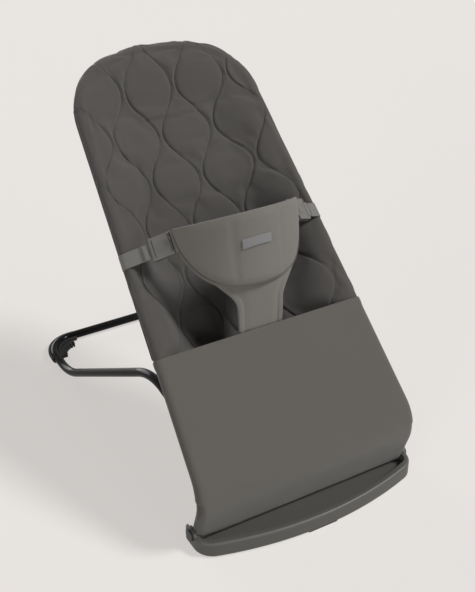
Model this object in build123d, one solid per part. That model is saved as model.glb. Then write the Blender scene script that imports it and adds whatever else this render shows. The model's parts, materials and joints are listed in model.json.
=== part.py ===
from build123d import *
from math import cos, hypot, radians, sin, tan
import os

# Bouncer seat: a padded sling on a steel hoop, carried by a front base and a hinged rear leg.
# Lengths are in millimetres. X runs across the seat, +Y to the head end, +Z up.
# The seat is drawn lying flat, with Y along its rails and Z out of its face, and then tilted.

# Stance
INCLINE = 42.6
RECLINE_RANGE = 28
LEG_FOLD_RATIO = 1.22
AXLE_Y = 9
AXLE_Z = 23

# Seat tube
SEAT_TUBE_R = 7
TUBE_WALL = 1.2
RAIL_HALF_NOSE = 191
HEAD_CORNER_X = 155
HEAD_CORNER_S = 688
HEAD_CROWN = 19
HEAD_CORNER_R = 110
HEAD_CROWN_R = 420
NOSE_R = 60
NOSE_TURN = 66
DROP_LENGTH = 54
AXLE_STICKS_OUT = 0.5

# Cover
FIT_GAP = 0.2
SLEEVE_THICK = 2.5
SLEEVE_LUG_GAP = 1.5
PANEL_TOP_S = 187
PANEL_TRIM = 1
AXLE_WRAP = 170
BACK_START_S = 104
BACK_EDGE_THICK = 5
BACK_PADDING = 10
BACK_EDGE_DROP = 1
BACK_SAGS = ((104, 50), (190, 60), (300, 55), (430, 42), (560, 28), (650, 15), (725, 2))
GUSSET_GAP = 0.9
GUSSET_THICK = 4
GUSSET_START_S = 38

# Quilting of the back
QUILT_SPACING = 48
QUILT_ROW = 79
QUILT_SWING = 19
QUILT_PUFF = 2.5
QUILT_LINES = 7
QUILT_START_S = 127
QUILT_HALF_ROWS = 16
QUILT_EDGE = 4

# Restraint
BIB_THICK = 8
BIB_SECTIONS = (
    # along the seat, height, half width, then along and height of the middle
    (242, 58, 48, 248, 76),
    (284, 62, 80, 281, 101),
    (330, 69, 104, 311, 125),
    (363, 76, 113, 340, 149),
)
CROTCH_HALF = 40
CROTCH_THICK = 5
CROTCH_CROWN = 1
CROTCH_FOOT_S = 188.3
CROTCH_FOOT_N = 4
LABEL_WIDTH = 50
LABEL_HEIGHT = 22
LABEL_S = 299
LABEL_THICK = 0.9
LABEL_GAP = 0.1

# Straps and buckles
STRAP_S = 352
STRAP_WIDTH = 25
STRAP_THICK = 2.2
STRAP_LEAVE = 56
STRAP_TUCK = 100
STRAP_FREE = 49.5
STRAP_FOLD = 20
BUCKLE_START = 44.5
BUCKLE_LENGTH = 36
BUCKLE_WIDTH = 38
BUCKLE_THICK = 11
BUCKLE_SLIDE = 15
STRAP_SLOT_DEPTH = 23
STRAP_SLOT_PLAY = 0.5
TONGUE_DEPTH = 10
TONGUE_WIDTH = 17
TONGUE_THICK = 4
TONGUE_PLAY = 0.5
ARM_LENGTH = 22
ARM_WIDTH = 4.3
ARM_THICK = 5
ARM_INSET = 0.5
ARM_SWING = 5
ARM_GAP = 0.3
CLIP_LENGTH = 16
CLIP_THICK = 6
CLIP_GAP = 1

# Recline hinge
HINGE_S = 75
HINGE_DEPTH = 34
LEG_INSET = 32
KNUCKLE_R = 18
KNUCKLE_WIDTH = 16
KNUCKLE_SOCKET_START = 24
KNUCKLE_SOCKET_FLOOR = 4
KNUCKLE_SOCKET_LENGTH = 30
KNUCKLE_SOCKET_WALL = 2.5
CHEEK_R = 20
CHEEK_THICK = 7
CHEEK_GAP = 0.5
BRIDGE_THICK = 6
BRIDGE_GAP = 0.8
SADDLE_REACH = 4
RIVET_R = 4
RIVET_HEAD_R = 6.5
RIVET_HEAD = 2.5
RIVET_PLAY = 0.05
SCREW_R = 2
SCREW_HEAD_R = 4
SCREW_HEAD = 2
SCREW_SPREAD = 13
BUTTON_OFFSET = 12
BUTTON_R = 5
BUTTON_HEAD = 4
BUTTON_TRAVEL = 4
BUTTON_STAND = 4.6
PLUNGER_R = 3
PLUNGER_PLAY = 0.1
PLUNGER_BITE = 2.5
SLOT_PLAY = 0.5
SPRING_WIRE_R = 0.4
SPRING_COIL_R = 3.9
SPRING_TURNS = 3

# Leg
LEG_TUBE_R = 8
LEG_BEND_Y = 228
LEG_BEND_Z = 182
LEG_FLOOR_SPREAD = 12
LEG_FLOOR_Y = 520
LEG_REAR_Y = 637
LEG_FLOOR_GAP = 4
LEG_BEND_R = 130
LEG_CORNER_R = 50
SHOE_RUN = 10
SHOE_LIP = 2
SHOE_WEB = 16
SHOE_WEB_TOP = 10
SHOE_SLOTS = 6
SHOE_SLOT = 2.6
SHOE_SLOT_DEPTH = 6

# Front base
LUG_GAP = 1.5
BASE_FRONT = 61
BASE_END_FRONT = 26
BASE_REAR = 32
BASE_HEIGHT = 28
BASE_CORNER_R = 34
BASE_DISH_R = 16
BASE_REAR_R = 9
BASE_LIP = 9
BASE_LIP_ROUND = 4
BASE_WALL = 3
BASE_DISH_Z = 13
BASE_SILL_Z = 10
BASE_REAR_GAP = 2
LUG_THICK = 5.5
LUG_R = 14
PAD_HEIGHT = 3
COVER_PLATE = 2.5
COVER_PLATE_GAP = 0.2
PAD_CENTRE = (57, 14)
PAD_END = (26, 34)
PAD_END_INSET = 29
PAD_END_Y = 8
PAD_CENTRE_Y = -53
BASE_SCREW_XS = (-150, -50, 50, 150)
BASE_SCREW_Y = -20
BASE_SCREW_R = 2
BASE_SCREW_HEAD_R = 4
BASE_SCREW_HEAD = 1.5
BASE_SCREW_LENGTH = 8
BASE_BOSS_R = 5
CAP_R = 10
CAP_THICK = 3

# Worked out from the sizes above
BASE_HALF = RAIL_HALF_NOSE + SEAT_TUBE_R + LUG_GAP + LUG_THICK
SLEEVE_START = LUG_R + SLEEVE_LUG_GAP
LEG_X = RAIL_HALF_NOSE - LEG_INSET
KNUCKLE_IN = LEG_X - KNUCKLE_WIDTH / 2
KNUCKLE_OUT = LEG_X + KNUCKLE_WIDTH / 2
CHEEK_IN = KNUCKLE_IN - CHEEK_GAP - CHEEK_THICK
CHEEK_OUT = KNUCKLE_OUT + CHEEK_GAP + CHEEK_THICK
GUSSET_HALF = CHEEK_IN - BUTTON_STAND - BUTTON_HEAD - GUSSET_GAP
LEG_FLOOR_X = RAIL_HALF_NOSE + LEG_FLOOR_SPREAD
PAD_END_X = BASE_HALF - PAD_END_INSET
HINGE_N = -HINGE_DEPTH
AXLE_END = BASE_HALF + AXLE_STICKS_OUT
SLEEVE_R = SEAT_TUBE_R + FIT_GAP + SLEEVE_THICK
KEEP_R = SLEEVE_R + FIT_GAP
RAIL_TAPER = (RAIL_HALF_NOSE - HEAD_CORNER_X) / HEAD_CORNER_S
NOSE_TANGENT = NOSE_R * tan(radians(NOSE_TURN / 2))
DROP_RUN = NOSE_TANGENT + DROP_LENGTH
AXLE_S = -NOSE_TANGENT - DROP_RUN * cos(radians(NOSE_TURN))
AXLE_N = -DROP_RUN * sin(radians(NOSE_TURN))
TILT_COS = cos(radians(INCLINE))
TILT_SIN = sin(radians(INCLINE))
SEAT_Y = AXLE_Y - (AXLE_S * TILT_COS - AXLE_N * TILT_SIN)
SEAT_Z = AXLE_Z - (AXLE_S * TILT_SIN + AXLE_N * TILT_COS)
SEAT = Location((0, SEAT_Y, SEAT_Z), (INCLINE, 0, 0))
LEG_FLOOR_Z = LEG_TUBE_R + LEG_FLOOR_GAP
HINGE_Y = SEAT_Y + HINGE_S * TILT_COS - HINGE_N * TILT_SIN
HINGE_Z = SEAT_Z + HINGE_S * TILT_SIN + HINGE_N * TILT_COS
CENTRE_Y = (LEG_REAR_Y + LEG_TUBE_R + LEG_FLOOR_GAP - BASE_FRONT) / 2
CENTRED = Location((0, -CENTRE_Y, 0))


UPRIGHT = (Align.CENTER, Align.CENTER, Align.MIN)


def rail_x(s):
    """Half the distance between the rails' centre lines, a way s up the seat."""
    return RAIL_HALF_NOSE - RAIL_TAPER * s


def mirrored(shape):
    return mirror(shape, about=Plane.YZ)


def tube(path, outer, inner=0):
    section = Circle(outer)
    if inner:
        section = section - Circle(inner)
    return sweep(Plane(origin=path @ 0, z_dir=path % 0) * section, path=path)


def largest(shape):
    return max(shape.solids(), key=lambda solid: solid.volume)


def block(x0, x1, y0, y1, z0, z1):
    return Pos((x0 + x1) / 2, (y0 + y1) / 2, (z0 + z1) / 2) * Box(x1 - x0, y1 - y0, z1 - z0)


def rod(x0, x1, s, n, radius):
    """A round bar across the seat, from x0 to x1."""
    return Pos((x0 + x1) / 2, s, n) * Rot(0, 90, 0) * Cylinder(radius, x1 - x0)


def across(sketch, x0, x1):
    """A sketch of the seat's side view, given its width across the seat."""
    return extrude(Plane.YZ.offset(x0) * sketch, amount=x1 - x0, dir=(1, 0, 0))


def ring_sector(centre, inner, outer, start, sweep_angle):
    far = CenterArc(centre, outer, start, sweep_angle)
    near = CenterArc(centre, inner, start, sweep_angle)
    return make_face([far, near, Line(far @ 0, near @ 0), Line(far @ 1, near @ 1)])


# Seat tube, its axle and the cover's edge sleeve

def hoop_path(start):
    """The hoop's centre line, starting this far up each front drop from the axle."""
    low = Vector(RAIL_HALF_NOSE, AXLE_S, AXLE_N)
    nose = Vector(rail_x(-NOSE_TANGENT), -NOSE_TANGENT, 0)
    foot = low + (nose - low).normalized() * start
    right = [foot, nose, Vector(HEAD_CORNER_X, HEAD_CORNER_S, 0)]
    left = [Vector(-point.X, point.Y, point.Z) for point in reversed(right)]
    crown = Vector(0, HEAD_CORNER_S + HEAD_CROWN, 0)
    radii = [NOSE_R, HEAD_CORNER_R, HEAD_CROWN_R, HEAD_CORNER_R, NOSE_R]
    return FilletPolyline(*right, crown, *left, radius=radii)


def front_axle():
    bar = rod(-AXLE_END, AXLE_END, AXLE_S, AXLE_N, SEAT_TUBE_R)
    return bar - rod(-AXLE_END, AXLE_END, AXLE_S, AXLE_N, SEAT_TUBE_R - TUBE_WALL)


def seat_tube():
    hoop = tube(hoop_path(0), SEAT_TUBE_R, SEAT_TUBE_R - TUBE_WALL)
    return hoop - rod(-AXLE_END, AXLE_END, AXLE_S, AXLE_N, SEAT_TUBE_R)


def edge_sleeve():
    return tube(hoop_path(SLEEVE_START), SLEEVE_R, SEAT_TUBE_R + FIT_GAP)


HOOP_KEEP = tube(hoop_path(0), KEEP_R)


# Cover

def cover_line(out):
    """The lower panel's side view, this far out from the tube's centre line."""
    reach = NOSE_R + out
    turn = radians(NOSE_TURN)
    flat = Line((PANEL_TOP_S, out), (0, out))
    nose = CenterArc((0, -NOSE_R), reach, 90, NOSE_TURN)
    end = (AXLE_S - out * sin(turn), AXLE_N + out * cos(turn))
    drop = Line(nose @ 1, end)
    wrap = CenterArc((AXLE_S, AXLE_N), out, 90 + NOSE_TURN, AXLE_WRAP)
    return [flat, nose, drop, wrap]


def lower_panel():
    outer = cover_line(SLEEVE_R)
    inner = cover_line(SEAT_TUBE_R + FIT_GAP)
    top = Line(outer[0] @ 0, inner[0] @ 0)
    end = Line(outer[-1] @ 1, inner[-1] @ 1)
    sheet = across(make_face(outer + inner + [top, end]), -RAIL_HALF_NOSE, RAIL_HALF_NOSE)
    foot_s = AXLE_S - 2 * SLEEVE_R
    foot = RAIL_HALF_NOSE - PANEL_TRIM
    head = rail_x(PANEL_TOP_S) - PANEL_TRIM
    outline = Polygon((-foot, foot_s), (foot, foot_s), (head, PANEL_TOP_S), (-head, PANEL_TOP_S), align=None)
    sides = extrude(outline, amount=DROP_RUN + NOSE_R, both=True)
    return largest((sheet & sides) - HOOP_KEEP)


def back_sag(s):
    """How far the middle of the back hangs below its edges, a way s up the seat."""
    for (low_s, low_sag), (high_s, high_sag) in zip(BACK_SAGS, BACK_SAGS[1:]):
        if s <= high_s:
            return low_sag + (high_sag - low_sag) * (s - low_s) / (high_s - low_s)
    return BACK_SAGS[-1][1]


def quilt_seams(s, half):
    """Where the wavy seams cross the back; neighbours are mirrored, so they nearly meet and part again."""
    wave = QUILT_SWING * sin(radians(180 * (s - QUILT_START_S) / QUILT_ROW))
    seams = []
    for line in range(QUILT_LINES):
        x = (line - (QUILT_LINES - 1) / 2) * QUILT_SPACING + (wave if line % 2 else -wave)
        seams.append(max(min(x, half - QUILT_EDGE), QUILT_EDGE - half))
    return [-half, *seams, half]


def sling_section(s):
    """The back's cross-section: a puffed top between the seams and a plain lower face."""
    half = rail_x(s)
    sag = back_sag(s)
    seams = [(x, -BACK_EDGE_DROP - sag * (1 - (x / half) ** 2)) for x in quilt_seams(s, half)]
    edges = []
    for (x0, n0), (x1, n1) in zip(seams, seams[1:]):
        puff = QUILT_PUFF * min(1, (x1 - x0) / QUILT_SPACING) ** 0.5
        edges.append(ThreePointArc((x0, n0), ((x0 + x1) / 2, (n0 + n1) / 2 + puff), (x1, n1)))
    low = -BACK_EDGE_DROP - BACK_EDGE_THICK
    lower = ThreePointArc((-half, low), (0, -sag - BACK_PADDING), (half, low))
    face = make_face([*edges, lower, Line(seams[0], lower @ 0), Line(seams[-1], lower @ 1)])
    return Plane(origin=(0, s, 0), x_dir=(1, 0, 0), z_dir=(0, -1, 0)) * face


def sling_layer():
    """The padded back as wide as the rails, sagging between them and quilted in waves."""
    rows = [QUILT_START_S + row * QUILT_ROW / 2 for row in range(QUILT_HALF_ROWS)]
    return loft([sling_section(s) for s in [BACK_START_S, *rows]])


def hoop_inside():
    """The space inside the hoop, clear of its sleeve, as a prism through the seat."""
    right = [(rail_x(BACK_START_S), BACK_START_S), (HEAD_CORNER_X, HEAD_CORNER_S)]
    left = [(-x, s) for x, s in reversed(right)]
    crown = (0, HEAD_CORNER_S + HEAD_CROWN)
    edge = FilletPolyline(*right, crown, *left, radius=[HEAD_CORNER_R, HEAD_CROWN_R, HEAD_CORNER_R])
    foot = Line(edge @ 1, edge @ 0)
    hollow = offset(make_face([*edge.edges(), foot]), amount=-KEEP_R)
    foot_strip = Rectangle(2 * rail_x(BACK_START_S), 2 * KEEP_R)
    hollow += Pos(0, BACK_START_S + KEEP_R) * foot_strip
    return extrude(hollow, amount=HEAD_CORNER_X, both=True)


def back_panel():
    return largest((sling_layer() & hoop_inside()) - HOOP_KEEP)


def pocket_gusset():
    sag = BACK_SAGS[0][1]
    low = (BACK_START_S - FIT_GAP, -sag)
    high = (GUSSET_START_S, SEAT_TUBE_R - GUSSET_THICK)
    outline = Polygon(
        low,
        (low[0], low[1] - GUSSET_THICK),
        (high[0], high[1]),
        (high[0], high[1] + GUSSET_THICK),
        (high[0] + GUSSET_THICK, high[1] + GUSSET_THICK),
        align=None,
    )
    return across(outline, -GUSSET_HALF, GUSSET_HALF)


# Restraint

def bib_section(section, inner, outer):
    """One rib of the bib, arched over the lap, between two depths from its middle layer."""
    s, n, half, top_s, top_n = section
    rise = hypot(top_s - s, top_n - n)
    upward = Vector(0, top_s - s, top_n - n).normalized()
    plane = Plane(origin=(0, s, n), x_dir=(1, 0, 0), z_dir=Vector(1, 0, 0).cross(upward))
    far = ThreePointArc((-half - outer, 0), (0, rise + outer), (half + outer, 0))
    near = ThreePointArc((-half - inner, 0), (0, rise + inner), (half + inner, 0))
    return plane * make_face([far, near, Line(far @ 0, near @ 0), Line(far @ 1, near @ 1)])


def bib_layer(inner, outer):
    return loft([bib_section(section, inner, outer) for section in BIB_SECTIONS])


def bib():
    layer = bib_layer(-BIB_THICK / 2, BIB_THICK / 2)
    pocket = buckle_box(CLIP_START - FIT_GAP, CLIP_END + FIT_GAP, CLIP_ROOM, CLIP_THICK / 2 + FIT_GAP)
    return largest(layer - pocket - mirrored(pocket))


def label():
    face = BIB_THICK / 2 + LABEL_GAP
    layer = bib_layer(face, face + LABEL_THICK)
    low = LABEL_S - LABEL_HEIGHT / 2
    return layer & block(-LABEL_WIDTH / 2, LABEL_WIDTH / 2, low, low + LABEL_HEIGHT, 0, HEAD_CORNER_S)


def crotch_strap():
    s, n, half, top_s, top_n = BIB_SECTIONS[0]
    half_depth = CROTCH_THICK / 2
    upper = bib_section(BIB_SECTIONS[0], -half_depth, half_depth)
    lean = Vector(0, s - CROTCH_FOOT_S, n - CROTCH_FOOT_N).normalized()
    foot = Plane(origin=(0, CROTCH_FOOT_S, CROTCH_FOOT_N), x_dir=(1, 0, 0), z_dir=lean)
    far = ThreePointArc((-CROTCH_HALF, half_depth), (0, half_depth + CROTCH_CROWN), (CROTCH_HALF, half_depth))
    low = -half_depth
    near = ThreePointArc((-CROTCH_HALF, low), (0, low + CROTCH_CROWN), (CROTCH_HALF, low))
    lower = make_face([far, near, Line(far @ 0, near @ 0), Line(far @ 1, near @ 1)])
    return loft([foot * lower, upper])


# Straps and buckles, drawn on the right

RAIL_ACROSS = Vector(1, RAIL_TAPER, 0).normalized()
STRAP_RAIL = Plane(
    origin=(rail_x(STRAP_S), STRAP_S, 0),
    x_dir=RAIL_ACROSS,
    z_dir=RAIL_ACROSS.cross(Vector(0, 0, 1)),
)
STRAP_MID_R = KEEP_R + STRAP_THICK / 2
LEAVE_COS = cos(radians(STRAP_LEAVE))
LEAVE_SIN = sin(radians(STRAP_LEAVE))
BUCKLE = Plane(
    origin=STRAP_RAIL.from_local_coords((STRAP_MID_R * LEAVE_COS, STRAP_MID_R * LEAVE_SIN, 0)),
    x_dir=-RAIL_ACROSS * LEAVE_SIN + Vector(0, 0, LEAVE_COS),
    z_dir=RAIL_ACROSS * LEAVE_COS + Vector(0, 0, LEAVE_SIN),
)
BUCKLE_END = BUCKLE_START + BUCKLE_LENGTH
CLIP_START = BUCKLE_END + CLIP_GAP
CLIP_END = CLIP_START + CLIP_LENGTH
CLIP_ROOM = BUCKLE_WIDTH / 2 + FIT_GAP
ARM_OUTER = BUCKLE_WIDTH / 2 - ARM_INSET
ARM_INNER = ARM_OUTER - ARM_WIDTH
ARM_NOTCH = ARM_INNER - ARM_LENGTH * sin(radians(ARM_SWING)) - ARM_GAP


def buckle_box(t0, t1, half_width, half_depth, w0=None):
    """A box in the buckle's own frame: along the strap, across it, and through it."""
    low = -half_width if w0 is None else w0
    return BUCKLE.location * block(t0, t1, low, half_width, -half_depth, half_depth)


def strap():
    wrap = ring_sector((0, 0), KEEP_R, KEEP_R + STRAP_THICK, -STRAP_TUCK, STRAP_TUCK + STRAP_LEAVE)
    wrap = extrude(STRAP_RAIL * wrap, amount=STRAP_WIDTH / 2, both=True)
    free = buckle_box(0, STRAP_FREE, STRAP_WIDTH / 2, STRAP_THICK / 2)
    fold = buckle_box(STRAP_FREE - STRAP_FOLD, STRAP_FREE, STRAP_WIDTH / 2, STRAP_THICK)
    return wrap + free + fold


def buckle_block():
    body = buckle_box(BUCKLE_START, BUCKLE_END, BUCKLE_WIDTH / 2, BUCKLE_THICK / 2)
    body = fillet(body.edges(), BUCKLE_THICK / 8)
    strap_room = STRAP_THICK + STRAP_SLOT_PLAY
    slot_half = STRAP_WIDTH / 2 + STRAP_SLOT_PLAY
    slot = buckle_box(BUCKLE_START - 1, BUCKLE_START + STRAP_SLOT_DEPTH, slot_half, strap_room)
    tongue_start = BUCKLE_END - TONGUE_DEPTH - TONGUE_PLAY
    tongue_half = TONGUE_WIDTH / 2 + TONGUE_PLAY
    tongue = buckle_box(tongue_start, BUCKLE_END + 1, tongue_half, TONGUE_THICK / 2 + TONGUE_PLAY)
    body = body - slot - tongue
    notch_start = CLIP_START - ARM_LENGTH - ARM_GAP - TONGUE_PLAY
    notch = buckle_box(notch_start, BUCKLE_END + 1, BUCKLE_WIDTH, ARM_THICK / 2 + TONGUE_PLAY, ARM_NOTCH)
    other = buckle_box(notch_start, BUCKLE_END + 1, -ARM_NOTCH, ARM_THICK / 2 + TONGUE_PLAY, -BUCKLE_WIDTH)
    return body - notch - other


def clip():
    plate = buckle_box(CLIP_START, CLIP_END, BUCKLE_WIDTH / 2, CLIP_THICK / 2)
    tongue = buckle_box(CLIP_START - CLIP_GAP - TONGUE_DEPTH, CLIP_START, TONGUE_WIDTH / 2, TONGUE_THICK / 2)
    return plate + tongue


def clip_arm(side):
    start = CLIP_START - ARM_LENGTH
    end = CLIP_START - ARM_GAP
    if side > 0:
        return buckle_box(start, end, ARM_OUTER, ARM_THICK / 2, ARM_INNER)
    return buckle_box(start, end, -ARM_INNER, ARM_THICK / 2, -ARM_OUTER)


# Recline hinge, drawn on the right

BRIDGE_LOW = HINGE_N + KNUCKLE_R + BRIDGE_GAP
BRIDGE_HIGH = BRIDGE_LOW + BRIDGE_THICK
BUTTON_N = HINGE_N - BUTTON_OFFSET
SADDLE_END = rail_x(HINGE_S) + SADDLE_REACH


def hinge_bracket():
    profile = Pos(HINGE_S, HINGE_N) * Circle(CHEEK_R)
    profile += Pos(HINGE_S, (HINGE_N + BRIDGE_HIGH) / 2) * Rectangle(2 * CHEEK_R, BRIDGE_HIGH - HINGE_N)
    body = across(profile, CHEEK_IN, CHEEK_OUT)
    gap = Pos(HINGE_S, (HINGE_N - CHEEK_R + BRIDGE_LOW) / 2)
    gap = gap * Rectangle(4 * CHEEK_R, BRIDGE_LOW - HINGE_N + CHEEK_R)
    body = body - across(gap, KNUCKLE_IN - CHEEK_GAP, KNUCKLE_OUT + CHEEK_GAP)
    saddle = block(CHEEK_OUT - CHEEK_THICK, SADDLE_END, HINGE_S - CHEEK_R, HINGE_S + CHEEK_R, BRIDGE_LOW, 0)
    body = body + saddle - HOOP_KEEP
    body = body - rod(CHEEK_IN, CHEEK_OUT, HINGE_S, HINGE_N, RIVET_R)
    body = body - rod(CHEEK_IN, CHEEK_IN + CHEEK_THICK, HINGE_S, BUTTON_N, PLUNGER_R + PLUNGER_PLAY)
    for s in screw_places():
        body = body - screw(s, SCREW_R + FIT_GAP, SCREW_HEAD_R + FIT_GAP)
    return largest(body)


def screw_places():
    return [HINGE_S - SCREW_SPREAD, HINGE_S + SCREW_SPREAD]


def screw(s, radius, head_radius):
    """A screw from below through the bracket's saddle into the rail."""
    x = rail_x(s)
    top = -SEAT_TUBE_R + TUBE_WALL
    shank = Pos(x, s, (BRIDGE_LOW + top) / 2) * Cylinder(radius, top - BRIDGE_LOW)
    head = Pos(x, s, BRIDGE_LOW + SCREW_HEAD / 2) * Cylinder(head_radius, SCREW_HEAD)
    return shank + head


def bracket_screws():
    right = [screw(s, SCREW_R, SCREW_HEAD_R) for s in screw_places()]
    return Compound(children=right + [mirrored(part) for part in right])


def hinge_rivet():
    shank = rod(CHEEK_IN, CHEEK_OUT, HINGE_S, HINGE_N, RIVET_R)
    inner = rod(CHEEK_IN - RIVET_HEAD, CHEEK_IN, HINGE_S, HINGE_N, RIVET_HEAD_R)
    outer = rod(CHEEK_OUT, CHEEK_OUT + RIVET_HEAD, HINGE_S, HINGE_N, RIVET_HEAD_R)
    return shank + inner + outer


def lock_button():
    tip = KNUCKLE_IN + PLUNGER_BITE
    under = CHEEK_IN - BUTTON_STAND
    plunger = rod(under, tip, HINGE_S, BUTTON_N, PLUNGER_R)
    return plunger + rod(under - BUTTON_HEAD, under, HINGE_S, BUTTON_N, BUTTON_R)


def button_spring():
    length = BUTTON_STAND - 2 * SPRING_WIRE_R - FIT_GAP
    coil = Helix(pitch=length / SPRING_TURNS, height=length, radius=SPRING_COIL_R)
    wire = sweep(Plane(origin=coil @ 0, z_dir=coil % 0) * Circle(SPRING_WIRE_R), path=coil, is_frenet=True)
    start = CHEEK_IN - SPRING_WIRE_R - FIT_GAP / 2
    return Pos(start, HINGE_S, BUTTON_N) * Rot(0, -90, 0) * wire


# Leg, drawn in its place on the floor

HINGE = Vector(LEG_X, HINGE_Y, HINGE_Z)
LEG_BEND = Vector(LEG_X, LEG_BEND_Y, LEG_BEND_Z)
RUN = (LEG_BEND - HINGE).normalized()
SOCKET_BASE = HINGE + RUN * KNUCKLE_SOCKET_START
SOCKET_FACE = SOCKET_BASE + RUN * KNUCKLE_SOCKET_FLOOR


def leg_tube():
    right = [SOCKET_FACE, LEG_BEND, Vector(LEG_FLOOR_X, LEG_FLOOR_Y, LEG_FLOOR_Z),
             Vector(LEG_FLOOR_X, LEG_REAR_Y, LEG_FLOOR_Z)]
    left = [Vector(-point.X, point.Y, point.Z) for point in reversed(right)]
    radii = [LEG_BEND_R, LEG_BEND_R, LEG_CORNER_R]
    path = FilletPolyline(*right, *left, radius=radii + radii[::-1])
    return tube(path, LEG_TUBE_R, LEG_TUBE_R - TUBE_WALL)


def leg_knuckle():
    disc = Pos(LEG_X, HINGE_Y, HINGE_Z) * Rot(0, 90, 0) * Cylinder(KNUCKLE_R, KNUCKLE_WIDTH)
    neck = Cylinder(LEG_TUBE_R - FIT_GAP, KNUCKLE_SOCKET_START, align=UPRIGHT)
    neck = Plane(origin=HINGE, z_dir=RUN) * neck
    socket_r = LEG_TUBE_R + FIT_GAP + KNUCKLE_SOCKET_WALL
    socket = Plane(origin=SOCKET_BASE, z_dir=RUN) * Cylinder(socket_r, KNUCKLE_SOCKET_LENGTH, align=UPRIGHT)
    bore = Plane(origin=SOCKET_FACE, z_dir=RUN)
    bore = bore * Cylinder(LEG_TUBE_R + FIT_GAP / 4, KNUCKLE_SOCKET_LENGTH, align=UPRIGHT)
    body = disc + neck + socket - bore
    pin = Pos(LEG_X, HINGE_Y, HINGE_Z) * Rot(0, 90, 0) * Cylinder(RIVET_R + RIVET_PLAY, 2 * KNUCKLE_WIDTH)
    return largest(body - pin - plunger_slot())


def plunger_slot():
    """The arc that the lock plunger's tip travels in as the leg swings."""
    reach = PLUNGER_R + SLOT_PLAY
    margin = Vector(BUTTON_OFFSET, reach + SLOT_PLAY, 0).get_angle(Vector(1, 0, 0))
    rest = INCLINE - 90
    swing = RECLINE_RANGE * LEG_FOLD_RATIO
    arc = ring_sector((HINGE_Y, HINGE_Z), BUTTON_OFFSET - reach, BUTTON_OFFSET + reach,
                      rest - swing - margin, swing + 2 * margin)
    depth = PLUNGER_BITE + BUTTON_TRAVEL + SLOT_PLAY
    return across(arc, KNUCKLE_IN - 1, KNUCKLE_IN + depth)


def rear_shoe():
    """A rubber foot under the leg's corner: a trough that grips the tube and a ribbed web inside the bend."""
    corner = Vector(LEG_FLOOR_X, LEG_REAR_Y, LEG_FLOOR_Z)
    reach = LEG_CORNER_R + SHOE_RUN
    ends = corner - Vector(0, reach, 0), corner - Vector(reach, 0, 0)
    path = FilletPolyline(ends[0], corner, ends[1], radius=LEG_CORNER_R)
    middle = Pos(LEG_FLOOR_X - LEG_CORNER_R, LEG_REAR_Y - LEG_CORNER_R, 0)
    inner = LEG_CORNER_R - LEG_TUBE_R - FIT_GAP - SHOE_WEB
    web = extrude(ring_sector((0, 0), inner, LEG_CORNER_R, 0, 90), amount=SHOE_WEB_TOP)
    slot = Pos(inner, 0, SHOE_WEB_TOP / 2) * Box(2 * SHOE_SLOT_DEPTH, SHOE_SLOT, 2 * SHOE_WEB_TOP)
    for place in range(SHOE_SLOTS):
        web = web - Rot(0, 0, 90 * (place + 0.5) / SHOE_SLOTS) * slot
    body = tube(path, LEG_FLOOR_Z) + middle * web - tube(path, LEG_TUBE_R + FIT_GAP)
    rim = LEG_FLOOR_Z + SHOE_LIP
    side = 2 * reach
    below = block(LEG_FLOOR_X - side, LEG_FLOOR_X + side, LEG_REAR_Y - side, LEG_REAR_Y + side, 0, rim)
    return largest(body & below)


# Front base

def base_outline(inset, rear, corner_r):
    front = ThreePointArc((-BASE_HALF + inset, inset - BASE_END_FRONT), (0, inset - BASE_FRONT),
                          (BASE_HALF - inset, inset - BASE_END_FRONT))
    right = Line(front @ 1, (BASE_HALF - inset, rear))
    back = Line(right @ 1, (inset - BASE_HALF, rear))
    left = Line(back @ 1, front @ 0)
    outline = make_face([front, right, back, left])
    corners = outline.vertices().sort_by(Axis.Y)[:2]
    return fillet(corners, corner_r)


def front_base():
    outline = base_outline(0, BASE_REAR, BASE_CORNER_R)
    body = Pos(0, 0, PAD_HEIGHT) * extrude(outline, amount=BASE_HEIGHT - PAD_HEIGHT)
    body = fillet(body.edges().filter_by(Axis.Z).sort_by(Axis.Y)[-2:], BASE_REAR_R)
    top = body.faces().sort_by(Axis.Z)[-1]
    front_edges = [edge for edge in top.edges() if edge.center().Y < BASE_REAR - 1]
    body = fillet(front_edges, BASE_LIP_ROUND)
    dish_rear = AXLE_Y - SLEEVE_R - BASE_REAR_GAP
    dish = extrude(base_outline(BASE_LIP, dish_rear, BASE_DISH_R), amount=BASE_HEIGHT)
    body = body - Pos(0, 0, BASE_DISH_Z) * dish
    inner_half = BASE_HALF - LUG_THICK
    body = body - block(-inner_half, inner_half, dish_rear, BASE_REAR + 1, BASE_SILL_Z, BASE_HEIGHT + 1)
    for side in (-1, 1):
        middle = side * (BASE_HALF - LUG_THICK / 2)
        body = body + Pos(middle, AXLE_Y, AXLE_Z) * Rot(0, 90, 0) * Cylinder(LUG_R, LUG_THICK)
    under = base_outline(BASE_WALL, BASE_REAR - BASE_WALL, BASE_CORNER_R)
    hollow = extrude(under, amount=BASE_SILL_Z - BASE_WALL - PAD_HEIGHT)
    body = body - Pos(0, 0, PAD_HEIGHT) * hollow
    for x in BASE_SCREW_XS:
        boss = Cylinder(BASE_BOSS_R, BASE_SILL_Z - PAD_HEIGHT - COVER_PLATE, align=UPRIGHT)
        body = body + Pos(x, BASE_SCREW_Y, PAD_HEIGHT + COVER_PLATE) * boss
        body = body - base_screw(x)
    bore = Pos(0, AXLE_Y, AXLE_Z) * Rot(0, 90, 0) * Cylinder(SEAT_TUBE_R + RIVET_PLAY, 3 * BASE_HALF)
    return body - bore


def base_cover():
    inset = BASE_WALL + COVER_PLATE_GAP
    plate = extrude(base_outline(inset, BASE_REAR - inset, BASE_CORNER_R), amount=COVER_PLATE)
    plate = Pos(0, 0, PAD_HEIGHT) * plate
    for x in BASE_SCREW_XS:
        plate = plate - base_screw(x)
    return plate


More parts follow.
